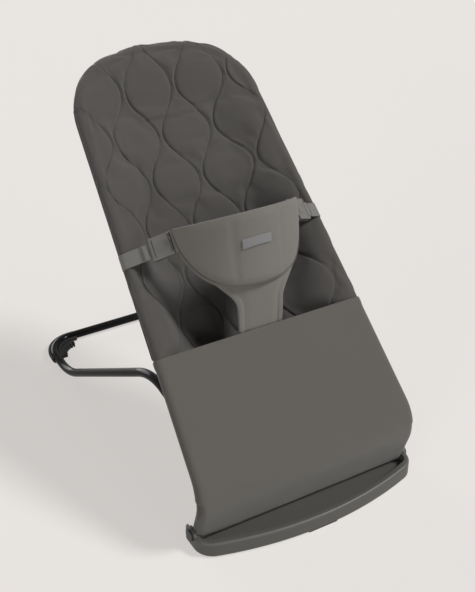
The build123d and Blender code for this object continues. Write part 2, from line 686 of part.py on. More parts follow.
def base_screw(x):
    head = Cylinder(BASE_SCREW_HEAD_R, BASE_SCREW_HEAD, align=UPRIGHT)
    shank = Cylinder(BASE_SCREW_R, BASE_SCREW_LENGTH, align=UPRIGHT)
    return Pos(x, BASE_SCREW_Y, PAD_HEIGHT) * (head + shank)


def base_screws():
    return Compound(children=[base_screw(x) for x in BASE_SCREW_XS])


def foot_pads():
    spots = [(PAD_CENTRE, 0, PAD_CENTRE_Y), (PAD_END, -PAD_END_X, PAD_END_Y), (PAD_END, PAD_END_X, PAD_END_Y)]
    pads = [Pos(x, y, 0) * extrude(RectangleRounded(size[0], size[1], size[1] / 4), amount=PAD_HEIGHT)
            for size, x, y in spots]
    return Compound(children=pads)


def axle_cap():
    return Pos(AXLE_END + CAP_THICK / 2, AXLE_Y, AXLE_Z) * Rot(0, 90, 0) * Cylinder(CAP_R, CAP_THICK)


def tilted(shape):
    return SEAT * shape


def save(name, shape):
    export_step(CENTRED * shape, f"parts/{name}.step")


def save_pair(name, shape):
    save(f"{name}_right", shape)
    save(f"{name}_left", mirrored(shape))


def main():
    os.makedirs("parts", exist_ok=True)
    save("front_base", front_base())
    save("base_cover", base_cover())
    save("foot_pads", foot_pads())
    save("base_screws", base_screws())
    save("seat_tube", tilted(seat_tube()))
    save("front_axle", tilted(front_axle()))
    save_pair("axle_cap", axle_cap())
    save("edge_sleeve", tilted(edge_sleeve()))
    save("lower_panel", tilted(lower_panel()))
    save("back_panel", tilted(back_panel()))
    save("pocket_gusset", tilted(pocket_gusset()))
    save("bib", tilted(bib()))
    save("bib_label", tilted(label()))
    save("crotch_strap", tilted(crotch_strap()))
    save_pair("strap", tilted(strap()))
    save_pair("buckle_block", tilted(buckle_block()))
    save_pair("buckle_clip", tilted(clip()))
    save_pair("clip_arm_upper", tilted(clip_arm(-1)))
    save_pair("clip_arm_lower", tilted(clip_arm(1)))
    save_pair("hinge_bracket", tilted(hinge_bracket()))
    save("bracket_screws", tilted(bracket_screws()))
    save_pair("hinge_rivet", tilted(hinge_rivet()))
    save_pair("lock_button", tilted(lock_button()))
    save_pair("button_spring", tilted(button_spring()))
    save("leg_tube", leg_tube())
    save_pair("leg_knuckle", leg_knuckle())
    save_pair("rear_shoe", rear_shoe())


main()
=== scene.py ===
import json
from math import atan2, cos, exp, hypot, pi, radians, sin, sqrt, tan

import bpy
import numpy as np
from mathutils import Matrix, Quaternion, Vector


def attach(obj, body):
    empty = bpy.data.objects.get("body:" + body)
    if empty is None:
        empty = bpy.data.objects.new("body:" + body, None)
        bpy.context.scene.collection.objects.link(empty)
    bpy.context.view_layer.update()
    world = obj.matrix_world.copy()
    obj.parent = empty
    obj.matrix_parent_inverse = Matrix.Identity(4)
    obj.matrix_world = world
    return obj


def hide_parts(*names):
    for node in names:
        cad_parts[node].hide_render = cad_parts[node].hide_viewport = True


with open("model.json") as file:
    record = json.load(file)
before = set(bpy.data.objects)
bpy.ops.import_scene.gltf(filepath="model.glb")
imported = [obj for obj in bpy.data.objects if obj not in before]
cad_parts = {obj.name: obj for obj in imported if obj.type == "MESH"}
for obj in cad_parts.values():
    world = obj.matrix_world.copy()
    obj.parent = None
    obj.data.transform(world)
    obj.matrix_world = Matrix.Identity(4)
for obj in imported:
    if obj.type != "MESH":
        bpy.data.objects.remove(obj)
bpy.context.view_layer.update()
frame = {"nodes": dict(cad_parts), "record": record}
nodes = frame["nodes"]

# Sizes in metres, as the solids have them. The seat is drawn flat and tilted:
# x across it, s up its rails, n out of its face.
INCLINE = radians(42.6)
SEAT_Y = -0.28597
SEAT_Z = 0.137483
RAIL_NOSE = 0.191
RAIL_TAPER = 0.036 / 0.688
HEAD_CORNER = (0.155, 0.688)
HEAD_CROWN = 0.707
HEAD_SLOPE = 0.1226
HEAD_OUT = (0.1217, 0.9926)
HEAD_INSET = 1.0075
CORNER_R = 0.110
CORNER_MIDDLE = (0.050, 0.5901)
EDGE_CORNER = 0.590
CROWN_R = 0.420
CROWN_MIDDLE = 0.28385
NOSE_R = 0.060
NOSE_TURN = radians(66)
DROP = 0.054
SLEEVE_R = 0.0097
BACK_WRAP_R = SLEEVE_R + 0.0003
BACK_TURN_IN = 0.0200
PANEL_TOP = 0.187
POCKET_HALF = 0.134
BACK_START = 0.104
BACK_SAGS = ((0.104, 0.050), (0.190, 0.060), (0.300, 0.055), (0.430, 0.042), (0.560, 0.028),
             (0.650, 0.015), (0.725, 0.002))
SAG_CURVE = np.polyfit([s for s, sag in BACK_SAGS], [sag for s, sag in BACK_SAGS], 4)
QUILT_SPACING = 0.048
QUILT_ROW = 0.0815
QUILT_SWING = 0.019
QUILT_START = 0.1108
QUILT_LINES = 7
BIB_HALF = 0.113
BIB_HEIGHT = 0.13
BIB_BEND = 6.2
BIB_MIDDLE = ((0.0, 0.248, 0.076), (0.33, 0.281, 0.101), (0.70, 0.311, 0.125), (1.0, 0.340, 0.149))
STRAP_S = 0.352
STRAP_WIDTH = 0.025
FOLD_HALF = 0.0122
STRAP_LEAVE = radians(56)
STRAP_FREE = 0.0495
BUCKLE_START = 0.0445
BUCKLE_LENGTH = 0.036
BUCKLE_THICK = 0.011


def on_seat(x, s, n):
    """A point of the tilted seat."""
    y = SEAT_Y + s * cos(INCLINE) - n * sin(INCLINE)
    return Vector((x, y, SEAT_Z + s * sin(INCLINE) + n * cos(INCLINE)))


def rail_half(s):
    return RAIL_NOSE - RAIL_TAPER * s


def smooth(low, high, value):
    t = min(1.0, max(0.0, (value - low) / (high - low)))
    return t * t * (3 - 2 * t)


# Tools for the soft pieces

def select_only(piece):
    bpy.ops.object.select_all(action="DESELECT")
    piece.select_set(True)
    bpy.context.view_layer.objects.active = piece


def cloth_grid(name, columns, rows, place, flat):
    """A grid laid where place(u, v) says, u from -1 to 1, v from 0 to 1; flat(u, v) is its map in metres."""
    bpy.ops.object.select_all(action="DESELECT")
    bpy.ops.mesh.primitive_grid_add(x_subdivisions=columns, y_subdivisions=rows, size=2)
    piece = bpy.context.active_object
    piece.name = name
    mesh = piece.data
    spots = [(vertex.co.x, (vertex.co.y + 1) / 2) for vertex in mesh.vertices]
    flat_spots = [flat(*spot) for spot in spots]
    for loop in mesh.loops:
        mesh.uv_layers.active.data[loop.index].uv = flat_spots[loop.vertex_index]
    for vertex, spot in zip(mesh.vertices, spots):
        vertex.co = place(*spot)
    mesh.update()
    return piece, spots


def finish_with(piece, kind, **settings):
    """Adds one modifier, sets it and applies it."""
    select_only(piece)
    bpy.ops.object.modifier_add(type=kind)
    modifier = piece.modifiers[-1]
    for name, value in settings.items():
        setattr(modifier, name, value)
    bpy.ops.object.modifier_apply(modifier=modifier.name)


def tidy_mesh(piece, merge=0.00002):
    """Merges doubles and turns the faces outwards."""
    select_only(piece)
    bpy.ops.object.mode_set(mode="EDIT")
    bpy.ops.mesh.select_all(action="SELECT")
    bpy.ops.mesh.remove_doubles(threshold=merge)
    bpy.ops.mesh.normals_make_consistent(inside=False)
    bpy.ops.object.mode_set(mode="OBJECT")


def shade(piece, angle=50):
    select_only(piece)
    bpy.ops.object.shade_smooth_by_angle(angle=radians(angle))


def puff_up(piece, held, pressure, cap, looser=0.02, frames=18):
    """Blows a closed piece up between its held points, as its filling does, by no more than cap."""
    before = [vertex.co.copy() for vertex in piece.data.vertices]
    group = piece.vertex_groups.new(name="held")
    group.add(held, 1.0, "REPLACE")
    select_only(piece)
    bpy.ops.object.modifier_add(type="CLOTH")
    cloth = piece.modifiers[-1]
    cloth.settings.quality = 4
    cloth.settings.mass = 0.2
    cloth.settings.tension_stiffness = 12
    cloth.settings.compression_stiffness = 8
    cloth.settings.shear_stiffness = 5
    cloth.settings.bending_stiffness = 0.4
    cloth.settings.air_damping = 2
    cloth.settings.use_pressure = True
    cloth.settings.uniform_pressure_force = pressure
    cloth.settings.shrink_min = -looser
    cloth.settings.vertex_group_mass = "held"
    cloth.settings.effector_weights.gravity = 0
    cloth.collision_settings.use_collision = False
    cloth.point_cache.frame_start = 1
    cloth.point_cache.frame_end = frames
    for step in range(1, frames + 1):
        bpy.context.scene.frame_set(step)
    bpy.ops.object.modifier_apply(modifier=cloth.name)
    bpy.context.scene.frame_set(1)
    for vertex, start in zip(piece.data.vertices, before):
        moved = vertex.co - start
        if moved.length > cap:
            vertex.co = start + moved * (cap / moved.length)
    piece.vertex_groups.clear()


def bent_line(corners, radii, step):
    """Evenly spaced points on straight runs that arcs join."""
    line = [corners[0]]
    for before, corner, after, radius in zip(corners, corners[1:], corners[2:], radii):
        back = (before - corner).normalized()
        on = (after - corner).normalized()
        half = back.angle(on) / 2
        reach = radius / tan(half)
        centre = corner + (back + on).normalized() * (radius / sin(half))
        first = corner + back * reach - centre
        axis = first.cross(corner + on * reach - centre).normalized()
        turn = pi - 2 * half
        count = max(3, round(turn * radius / step))
        line += [centre + Quaternion(axis, turn * k / count) @ first for k in range(count + 1)]
    line.append(corners[-1])
    return even_points(line, step)


def even_points(line, step):
    along = np.cumsum([0] + [(b - a).length for a, b in zip(line, line[1:])])
    stops = np.linspace(0, along[-1], max(2, round(along[-1] / step)) + 1)
    axes = [np.interp(stops, along, [point[axis] for point in line]) for axis in range(3)]
    return [Vector(point) for point in zip(*axes)]


def carried_frames(line, side):
    """Two directions square to the line at each point, carried along it without twist."""
    frames = []
    for index, point in enumerate(line):
        ahead = (line[min(index + 1, len(line) - 1)] - line[max(index - 1, 0)]).normalized()
        side = (side - ahead * side.dot(ahead)).normalized()
        frames.append((side.copy(), ahead.cross(side)))
    return frames


def sewn_tube(name, line, side, radius, around, wall=0.0):
    """A tube of cloth or cord round a line; radius(turn, way) gives its size at each place."""
    frames = carried_frames(line, side)
    length = sum((b - a).length for a, b in zip(line, line[1:]))
    last = len(line) - 1

    def place(u, v):
        index = round(v * last)
        across, up = frames[index]
        angle = pi * u
        return line[index] + (across * cos(angle) + up * sin(angle)) * radius(angle, v * length)

    girth = 2 * pi * radius(0, 0)
    piece, spots = cloth_grid(name, around, last, place, lambda u, v: (u * girth / 2, v * length))
    tidy_mesh(piece)
    if wall:
        finish_with(piece, "SOLIDIFY", thickness=wall, offset=-1)
    else:
        close_ends(piece)
    shade(piece)
    return piece


def close_ends(piece):
    select_only(piece)
    bpy.ops.object.mode_set(mode="EDIT")
    bpy.ops.mesh.select_all(action="DESELECT")
    bpy.ops.mesh.select_mode(type="EDGE")
    bpy.ops.mesh.select_non_manifold()
    bpy.ops.mesh.fill_holes(sides=0)
    bpy.ops.mesh.select_all(action="SELECT")
    bpy.ops.mesh.normals_make_consistent(inside=False)
    bpy.ops.object.mode_set(mode="OBJECT")


def stitch_row(name, line, up, pitch=0.0042, length=0.0030, width=0.0007):
    """Thread stitches laid end to end along a line, each a slim rounded bar sunk at both ends."""
    points = even_points(line, pitch)
    bpy.ops.object.select_all(action="DESELECT")
    bars = []
    for a, b, lift in zip(points, points[1:], [up(k) for k in range(len(points) - 1)]):
        bars.append(((a + b) / 2, (b - a).normalized(), lift))
    bpy.ops.mesh.primitive_cylinder_add(vertices=6, radius=width / 2, depth=length)
    piece = bpy.context.active_object
    piece.name = name
    bpy.ops.object.mode_set(mode="EDIT")
    bpy.ops.mesh.select_all(action="SELECT")
    bpy.ops.mesh.bevel(offset=width * 0.3, segments=1)
    bpy.ops.object.mode_set(mode="OBJECT")
    pattern = [vertex.co.copy() for vertex in piece.data.vertices]
    faces = [tuple(face.vertices) for face in piece.data.polygons]
    places = []
    corners = []
    for middle, ahead, lift in bars:
        lift = (lift - ahead * lift.dot(ahead)).normalized()
        side = ahead.cross(lift)
        start = len(places)
        for co in pattern:
            arch = 1 - (2 * co.z / length) ** 2
            places.append(middle + ahead * co.z + side * co.x + lift * (co.y + arch * width * 0.35))
        corners += [tuple(start + index for index in face) for face in faces]
    piece.data.clear_geometry()
    piece.data.from_pydata(places, [], corners)
    piece.data.update()
    tidy_mesh(piece, 0.000001)
    shade(piece)
    return piece


# Finishes

def sockets(group, inputs, outputs):
    for name, kind, value in inputs:
        socket = group.interface.new_socket(name=name, in_out="INPUT", socket_type=kind)
        if value is not None:
            socket.default_value = value
    for name, kind in outputs:
        group.interface.new_socket(name=name, in_out="OUTPUT", socket_type=kind)
    return group.nodes.new("NodeGroupInput"), group.nodes.new("NodeGroupOutput")


def math_node(tree, operation, a, b=None):
    node = tree.nodes.new("ShaderNodeMath")
    node.operation = operation
    for index, value in enumerate((a, b)):
        if value is None:
            continue
        if isinstance(value, (int, float)):
            node.inputs[index].default_value = value
        else:
            tree.links.new(value, node.inputs[index])
    return node.outputs[0]


def weave_group():
    """Over and under yarns of a plain weave, on a map in metres."""
    group = bpy.data.node_groups.new("plain_weave", "ShaderNodeTree")
    inputs = [("Map", "NodeSocketVector", None), ("Yarns per metre", "NodeSocketFloat", 1000.0)]
    start, end = sockets(group, inputs, [("Height", "NodeSocketFloat"), ("Gap", "NodeSocketFloat")])
    grown = group.nodes.new("ShaderNodeVectorMath")
    grown.operation = "SCALE"
    group.links.new(start.outputs["Map"], grown.inputs[0])
    group.links.new(start.outputs["Yarns per metre"], grown.inputs["Scale"])
    parts = group.nodes.new("ShaderNodeSeparateXYZ")
    group.links.new(grown.outputs[0], parts.inputs[0])
    across, along = parts.outputs[0], parts.outputs[1]
    warp = math_node(group, "ABSOLUTE", math_node(group, "SINE", math_node(group, "MULTIPLY", across, pi)))
    weft = math_node(group, "ABSOLUTE", math_node(group, "SINE", math_node(group, "MULTIPLY", along, pi)))
    cells = math_node(group, "ADD", math_node(group, "FLOOR", across), math_node(group, "FLOOR", along))
    over = math_node(group, "ABSOLUTE", math_node(group, "MODULO", cells, 2.0))
    mixed = group.nodes.new("ShaderNodeMix")
    group.links.new(over, mixed.inputs[0])
    group.links.new(warp, mixed.inputs[2])
    group.links.new(weft, mixed.inputs[3])
    group.links.new(mixed.outputs[0], end.inputs["Height"])
    gap = math_node(group, "SUBTRACT", 1.0, math_node(group, "MULTIPLY", warp, weft))
    group.links.new(math_node(group, "POWER", gap, 3.0), end.inputs["Gap"])
    return group


def tone_group():
    """A colour that clouds and flecks a little over the piece."""
    group = bpy.data.node_groups.new("clouded_colour", "ShaderNodeTree")
    inputs = [("Place", "NodeSocketVector", None), ("Light", "NodeSocketColor", (1, 1, 1, 1)),
              ("Dark", "NodeSocketColor", (0, 0, 0, 1)), ("Cloud size", "NodeSocketFloat", 14.0),
              ("Fleck size", "NodeSocketFloat", 900.0)]
    start, end = sockets(group, inputs, [("Colour", "NodeSocketColor"), ("Fleck", "NodeSocketFloat")])
    cloud = group.nodes.new("ShaderNodeTexNoise")
    cloud.inputs["Detail"].default_value = 4
    fleck = group.nodes.new("ShaderNodeTexNoise")
    fleck.inputs["Detail"].default_value = 1
    for noise, size in ((cloud, "Cloud size"), (fleck, "Fleck size")):
        group.links.new(start.outputs["Place"], noise.inputs["Vector"])
        group.links.new(start.outputs[size], noise.inputs["Scale"])
    spread = math_node(group, "ADD", math_node(group, "MULTIPLY", cloud.outputs["Fac"], 0.6),
                       math_node(group, "MULTIPLY", fleck.outputs["Fac"], 0.4))
    mixed = group.nodes.new("ShaderNodeMix")
    mixed.data_type = "RGBA"
    group.links.new(spread, mixed.inputs[0])
    group.links.new(start.outputs["Dark"], mixed.inputs[6])
    group.links.new(start.outputs["Light"], mixed.inputs[7])
    group.links.new(mixed.outputs[2], end.inputs["Colour"])
    group.links.new(fleck.outputs["Fac"], end.inputs["Fleck"])
    return group


PLAIN_WEAVE = weave_group()
CLOUDED = tone_group()


def shades(colour, spread):
    light = tuple(min(1.0, part * (1 + spread)) for part in colour) + (1.0,)
    dark = tuple(part * (1 - spread) for part in colour) + (1.0,)
    return light, dark


def start_finish(name, roughness):
    finish = bpy.data.materials.new(name)
    finish.use_nodes = True
    tree = finish.node_tree
    shader = tree.nodes["Principled BSDF"]
    shader.inputs["Roughness"].default_value = roughness
    place = tree.nodes.new("ShaderNodeTexCoord")
    return finish, tree, shader, place


def coloured(tree, place, colour, spread, cloud, fleck):
    tone = tree.nodes.new("ShaderNodeGroup")
    tone.node_tree = CLOUDED
    light, dark = shades(colour, spread)
    tone.inputs["Light"].default_value = light
    tone.inputs["Dark"].default_value = dark
    tone.inputs["Cloud size"].default_value = cloud
    tone.inputs["Fleck size"].default_value = fleck
    tree.links.new(place.outputs["Object"], tone.inputs["Place"])
    return tone


def bumped(tree, shader, height, strength, distance):
    bump = tree.nodes.new("ShaderNodeBump")
    bump.inputs["Strength"].default_value = strength
    bump.inputs["Distance"].default_value = distance
    tree.links.new(height, bump.inputs["Height"])
    tree.links.new(bump.outputs["Normal"], shader.inputs["Normal"])


def cloth_finish(name, colour, yarns, spread=0.10, sheen=0.25, deep=0.0004):
    """Woven cloth: a clouded colour, darker between the yarns, with the weave as bump."""
    finish, tree, shader, place = start_finish(name, 0.88)
    shader.inputs["Sheen Weight"].default_value = sheen
    shader.inputs["Sheen Roughness"].default_value = 0.6
    shader.inputs["Specular IOR Level"].default_value = 0.25
    tone = coloured(tree, place, colour, spread, 11.0, 700.0)
    weave = tree.nodes.new("ShaderNodeGroup")
    weave.node_tree = PLAIN_WEAVE
    weave.inputs["Yarns per metre"].default_value = yarns
    tree.links.new(place.outputs["UV"], weave.inputs["Map"])
    mixed = tree.nodes.new("ShaderNodeMix")
    mixed.data_type = "RGBA"
    mixed.blend_type = "MULTIPLY"
    mixed.inputs[7].default_value = (0.62, 0.61, 0.60, 1)
    tree.links.new(weave.outputs["Gap"], mixed.inputs[0])
    tree.links.new(tone.outputs["Colour"], mixed.inputs[6])
    tree.links.new(mixed.outputs[2], shader.inputs["Base Color"])
    bumped(tree, shader, weave.outputs["Height"], 0.5, deep)
    return finish


def moulded_finish(name, colour, roughness, grain=650.0, spread=0.06, deep=0.0002):
    """Moulded plastic or rubber with a fine grain."""
    finish, tree, shader, place = start_finish(name, roughness)
    tone = coloured(tree, place, colour, spread, 9.0, grain)
    tree.links.new(tone.outputs["Colour"], shader.inputs["Base Color"])
    rough = math_node(tree, "ADD", math_node(tree, "MULTIPLY", tone.outputs["Fleck"], 0.16), roughness - 0.08)
    tree.links.new(rough, shader.inputs["Roughness"])
    bumped(tree, shader, tone.outputs["Fleck"], 0.35, deep)
    return finish


def metal_finish(name, colour, metallic, roughness, shine):
    """Painted or plated steel: a slight orange peel and smudged gloss."""
    finish, tree, shader, place = start_finish(name, roughness)
    shader.inputs["Metallic"].default_value = metallic
    shader.inputs["Specular IOR Level"].default_value = shine
    tone = coloured(tree, place, colour, 0.12, 30.0, 260.0)
    tree.links.new(tone.outputs["Colour"], shader.inputs["Base Color"])
    rough = math_node(tree, "ADD", math_node(tree, "MULTIPLY", tone.outputs["Fleck"], 0.12), roughness - 0.06)
    tree.links.new(rough, shader.inputs["Roughness"])
    bumped(tree, shader, tone.outputs["Fleck"], 0.12, 0.00015)
    return finish


FINISHES = {
    "quilted_fabric": cloth_finish("quilted_cloth", (0.078, 0.072, 0.066), 900),
    "plain_fabric": cloth_finish("panel_cloth", (0.119, 0.111, 0.097), 900, spread=0.07),
    "edge_fabric": cloth_finish("edge_cloth", (0.078, 0.072, 0.066), 900),
    "bib_fabric": cloth_finish("bib_cloth", (0.205, 0.193, 0.172), 900, spread=0.08),
    "label": cloth_finish("label_tape", (0.275, 0.272, 0.275), 1400, spread=0.05),
    "webbing": cloth_finish("webbing_weave", (0.215, 0.211, 0.196), 520, deep=0.0009),
    "base_plastic": moulded_finish("base_plastic_grain", (0.080, 0.079, 0.072), 0.5),
    "black_plastic": moulded_finish("black_plastic_grain", (0.022, 0.022, 0.022), 0.5),
    "buckle_plastic": moulded_finish("buckle_plastic_satin", (0.140, 0.134, 0.124), 0.42, deep=0.0001),
    "rubber": moulded_finish("foot_rubber", (0.020, 0.020, 0.020), 0.75, grain=420.0),
    "black_steel": metal_finish("black_tube_paint", (0.008, 0.008, 0.008), 0.0, 0.14, 0.09),
    "zinc_steel": metal_finish("zinc_plating", (0.56, 0.56, 0.55), 1.0, 0.34, 0.35),
}
THREAD = cloth_finish("sewing_thread", (0.160, 0.152, 0.136), 2500, deep=0.0001)
PIPING = cloth_finish("piping_cloth", (0.118, 0.111, 0.098), 1100)
# Near-black seam thread: partly real stitching, partly painted shade in the quilting seam grooves.
SEAM_THREAD_AND_SHADE = cloth_finish("seam_thread_with_painted_shade", (0.030, 0.028, 0.026), 2500, deep=0.0001)
DARK_PIPING = cloth_finish("dark_piping_cloth", (0.040, 0.038, 0.036), 1100)

for part in frame["record"]["subparts"]:
    solid = nodes[part["node"]]
    solid.data.materials.clear()
    solid.data.materials.append(FINISHES[part["material_slot"]])


def dress(piece, slot, body="seat", finish=None, stands_for=()):
    """Gives a finished piece its finish and the body it moves with, and hides the solids it stands for."""
    piece.data.materials.clear()
    piece.data.materials.append(finish or FINISHES[slot])
    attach(piece, body)
    if stands_for:
        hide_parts(*stands_for)
    return piece


# The quilted back

def head_edge(x, inset):
    """How far up the seat the hoop's inner edge lies, x from the middle."""
    x = min(abs(x), CORNER_MIDDLE[0] + CORNER_R - inset)
    if x < 0.0512:
        return CROWN_MIDDLE + sqrt((CROWN_R - inset) ** 2 - x * x)
    corner = EDGE_CORNER + sqrt(max(0.0, (CORNER_R - inset) ** 2 - max(0.0, x - CORNER_MIDDLE[0]) ** 2))
    straight = HEAD_CROWN - HEAD_SLOPE * x - inset * HEAD_INSET
    return straight if x < 0.0634 else corner


def back_half(s, inset):
    return rail_half(min(s, 0.592)) - inset


def seam_x(line, s):
    wave = QUILT_SWING * sin(pi * (s - QUILT_START) / QUILT_ROW)
    return (line - (QUILT_LINES - 1) / 2) * QUILT_SPACING + (wave if line % 2 else -wave)


def back_bay(u, s, inset):
    """The bay between two seams that u falls in: its left and right side and the way across it."""
    bay = (u + 1) / 2 * (QUILT_LINES + 1)
    index = min(int(bay + 1e-6), QUILT_LINES)
    half = back_half(s, inset)
    left = -half if index == 0 else max(-half, min(half, seam_x(index - 1, s)))
    right = half if index == QUILT_LINES else max(-half, min(half, seam_x(index, s)))
    way = min(1.0, max(0.0, bay - index))
    return left, right, 0.35 * way + 0.65 * (0.5 - 0.5 * cos(pi * way))


def back_x(u, s, inset):
    left, right, way = back_bay(u, s, inset)
    return left + (right - left) * way


def back_top(u, inset):
    low, high = 0.50, 0.76
    for step in range(24):
        middle = (low + high) / 2
        if middle < head_edge(back_x(u, middle, inset), inset):
            low = middle
        else:
            high = middle
    return low


def past_hoop(x, s):
    """How far a point lies outside the hoop's centre line, and which way is out."""
    side = 1 if x >= 0 else -1
    x = abs(x)
    corner_x, corner_s = x - CORNER_MIDDLE[0], s - CORNER_MIDDLE[1]
    corner = atan2(corner_s, corner_x) if corner_s > 0 else 0.0
    if corner < radians(3):
        size = hypot(1, RAIL_TAPER)
        return (x - rail_half(s)) / size, side / size, RAIL_TAPER / size
    if corner < radians(83):
        reach = hypot(corner_x, corner_s)
        return reach - CORNER_R, side * corner_x / reach, corner_s / reach
    if atan2(x, s - CROWN_MIDDLE) < radians(6.99):
        reach = hypot(x, s - CROWN_MIDDLE)
        return reach - (HEAD_CROWN - CROWN_MIDDLE), side * x / reach, (s - CROWN_MIDDLE) / reach
    return (s - HEAD_CROWN + HEAD_SLOPE * x) * HEAD_OUT[1], side * HEAD_OUT[0], HEAD_OUT[1]


def laid_over_hoop(x, s):
    """A point of the flat back laid in the sling: hanging inside the hoop, wrapped round it outside."""
    past, out_x, out_s = past_hoop(x, s)
    wrap = BACK_WRAP_R - 0.0013 * smooth(0.206, 0.190, s)
    if past > 0:
        turn = past / wrap
        shift = wrap * sin(turn) - past
        return Vector((x + out_x * shift, s + out_s * shift, wrap * cos(turn)))
    inside = -past
    share = min(1.0, abs(x) / rail_half(s))
    sag = float(np.polyval(SAG_CURVE, min(s, 0.72))) * (1 - share ** 2) * smooth(-0.004, 0.085, inside)
    sheet = 0.0125 * max(0.0, 1 - inside / (0.080 + 0.140 * out_s ** 2)) ** 2 - 0.003 - sag
    over = sqrt(wrap ** 2 - inside ** 2) if inside < wrap else -1.0
    apart = max(0.0, 0.004 - abs(sheet - over)) / 0.004
    return Vector((x, s, max(sheet, over) + apart ** 2 * 0.001))


def quilted_back():
    inset = -BACK_TURN_IN
    tops = {}

    def spot(u, v):
        key = round(u, 5)
        if key not in tops:
            tops[key] = back_top(u, inset)
        s = tops[key] - (tops[key] - BACK_START) * (1 - v) ** 1.5
        return back_x(u, s, inset), s

    def place(u, v):
        return on_seat(*laid_over_hoop(*spot(u, v)))

    piece, spots = cloth_grid("quilted_back", 96, 128, place, spot)
    top = len(spots)
    normals = [vertex.normal.copy() for vertex in piece.data.vertices]
    finish_with(piece, "SOLIDIFY", thickness=0.004, offset=-1)
    held = []
    for index, (u, v) in enumerate(spots):
        x, s = spot(u, v)
        left, right, way = back_bay(u, s, inset)
        from_seam = min(way, 1 - way) * (right - left)
        fade = smooth(0, 0.02, v) * smooth(0, 0.03, 1 - v) * smooth(0, 0.008, back_half(s, inset) - abs(x))
        puff = 0.0026 * (1 - exp(-(from_seam / 0.0022) ** 1.5)) + 0.0012 * 4 * way * (1 - way)
        puff *= 1 - (0.72 + 0.28 * smooth(0.210, 0.192, s)) * smooth(-0.035, 0.004, past_hoop(x, s)[0])
        puff *= 0.55 + 0.45 * smooth(0.20, 0.40, s)
        drape = 0.0006 * sin(s * 57 + 3 * sin(x * 41)) * sin(x * 33 + 1.3)
        piece.data.vertices[index].co += normals[index] * ((puff + drape) * fade)
        if from_seam < 0.0004 or fade < 0.05:
            held += [index, index + top]
    puff_up(piece, held, 1.2, 0.0025)
    finish_with(piece, "SUBSURF", levels=1, render_levels=1)
    shade(piece, 80)
    return dress(piece, "quilted_fabric", stands_for=["back_panel"])


quilted_back()


def quilt_threads_and_painted_seam_shade():
    """The thread down in the quilting seams, one row of stitches a seam; its near-black colour is partly the
    real stitching and partly painted shade for the seam grooves.
    """
    for line in range(QUILT_LINES):
        run = []
        for k in range(160):
            s = 0.125 + 0.60 * k / 159
            x = seam_x(line, s)
            if past_hoop(x, s)[0] < 0.004:
                run.append(on_seat(*(laid_over_hoop(x, s) + Vector((0, 0, 0.0002)))))
        lift = on_seat(0, 0, 1) - on_seat(0, 0, 0)
        piece = stitch_row(f"quilt_seam_shade_thread_{line}", run, lambda k: lift, 0.0046, 0.0040, 0.0011)
        dress(piece, "quilted_fabric", finish=SEAM_THREAD_AND_SHADE)


quilt_threads_and_painted_seam_shade()

# The cover's edge, sewn round the hoop

AXLE_S = -NOSE_R * tan(NOSE_TURN / 2) - (NOSE_R * tan(NOSE_TURN / 2) + DROP) * cos(NOSE_TURN)
AXLE_N = -(NOSE_R * tan(NOSE_TURN / 2) + DROP) * sin(NOSE_TURN)


def hoop_line(step):
    nose_s = -NOSE_R * tan(NOSE_TURN / 2)
    low = Vector((RAIL_NOSE, AXLE_S, AXLE_N))
    nose = Vector((rail_half(nose_s), nose_s, 0))
    right = [low + (nose - low).normalized() * 0.014, nose, Vector((HEAD_CORNER[0], HEAD_CORNER[1], 0))]
    left = [Vector((-point.x, point.y, point.z)) for point in reversed(right)]
    corners = right + [Vector((0, HEAD_CROWN, 0))] + left
    line = bent_line(corners, [NOSE_R, CORNER_R, CROWN_R, CORNER_R, NOSE_R], step)
    return [on_seat(*point) for point in line]


def edge_cover():
    line = hoop_line(0.006)
    length = sum((b - a).length for a, b in zip(line, line[1:]))

    def radius(angle, way):
        mid = abs(way - length / 2)
        gather = smooth(0.24, 0.16, mid) * smooth(0.02, 0.10, mid)
        ripple = 0.00035 * sin(way * 520 + 2 * sin(angle)) * gather
        return SLEEVE_R + ripple + 0.00025 * sin(way * 61 + angle * 2)

    piece = sewn_tube("edge_cover", line, Vector((1, 0, 0)), radius, 28, wall=0.0012)
    return dress(piece, "edge_fabric", stands_for=["edge_sleeve"])


edge_cover()


def edge_piping():
    """A dark cord sewn along the outside of the cover's edge."""
    line = hoop_line(0.006)
    frames = carried_frames(line, Vector((1, 0, 0)))
    cord = [point + side * 0.0092 + up * 0.0042 for point, (side, up) in zip(line, frames)]
    start = 50
    piece = sewn_tube("edge_piping", cord[start:-start], Vector((1, 0, 0)), lambda angle, way: 0.0014, 10)
    return dress(piece, "edge_fabric", finish=DARK_PIPING)


edge_piping()

# The plain lower panel, stretched over the nose down to the axle

WRAP_R = 0.0110
PANEL_RUNS = (PANEL_TOP, NOSE_R * NOSE_TURN, DROP, WRAP_R * radians(165))
PANEL_LENGTH = sum(PANEL_RUNS)


def panel_spot(way):
    """The tube's centre line in side view and the way its outside faces, this far below the panel's top."""
    flat, nose, drop, wrap = PANEL_RUNS
    if way <= flat:
        return PANEL_TOP - way, 0.0, 0.0
    if way <= flat + nose:
        turn = (way - flat) / NOSE_R
        return -NOSE_R * sin(turn), NOSE_R * (cos(turn) - 1), turn
    past = way - flat - nose
    ahead = min(past, drop)
    s = -NOSE_R * sin(NOSE_TURN) - ahead * cos(NOSE_TURN)
    n = NOSE_R * (cos(NOSE_TURN) - 1) - ahead * sin(NOSE_TURN)
    return s, n, NOSE_TURN + max(0.0, past - drop) / WRAP_R


